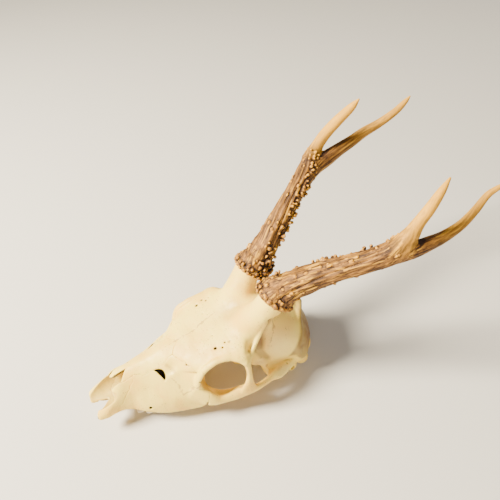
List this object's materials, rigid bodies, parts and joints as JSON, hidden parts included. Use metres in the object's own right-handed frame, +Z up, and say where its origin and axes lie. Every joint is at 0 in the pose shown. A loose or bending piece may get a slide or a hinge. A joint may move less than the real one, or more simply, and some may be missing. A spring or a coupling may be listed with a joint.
{
  "type": "roe deer skull",
  "caption": "Upper skull of a roebuck lying at rest: tapering muzzle, open nose, large orbits with cheek arches, and two pearled antlers that each fork into a front and a rear tine.",
  "frame": {"origin": "centre of the bounding box at floor level, the skull resting on its last molars and the processes beside its condyles", "axes": "+Z up, nose towards -Y, back of the head and antler tips towards +Y, the animal's left towards +X"},
  "size_m": [0.1312, 0.2996, 0.1904],
  "materials": {
    "bone": "dry, matt to slightly waxy ivory bone",
    "antler": "brown, grooved and pearled, with polished pale ridges and tips"
  },
  "bodies": {
    "root": {"face": "bone", "braincase": "bone", "nasal_left": "bone", "nasal_right": "bone", "premaxilla_left": "bone", "premaxilla_right": "bone", "cheekbone_left": "bone", "cheekbone_right": "bone", "antler_left_beam": "antler", "antler_left_front_tine": "antler", "antler_left_rear_tine": "antler", "antler_right_beam": "antler", "antler_right_front_tine": "antler", "antler_right_rear_tine": "antler"}
  },
  "joints": []
}
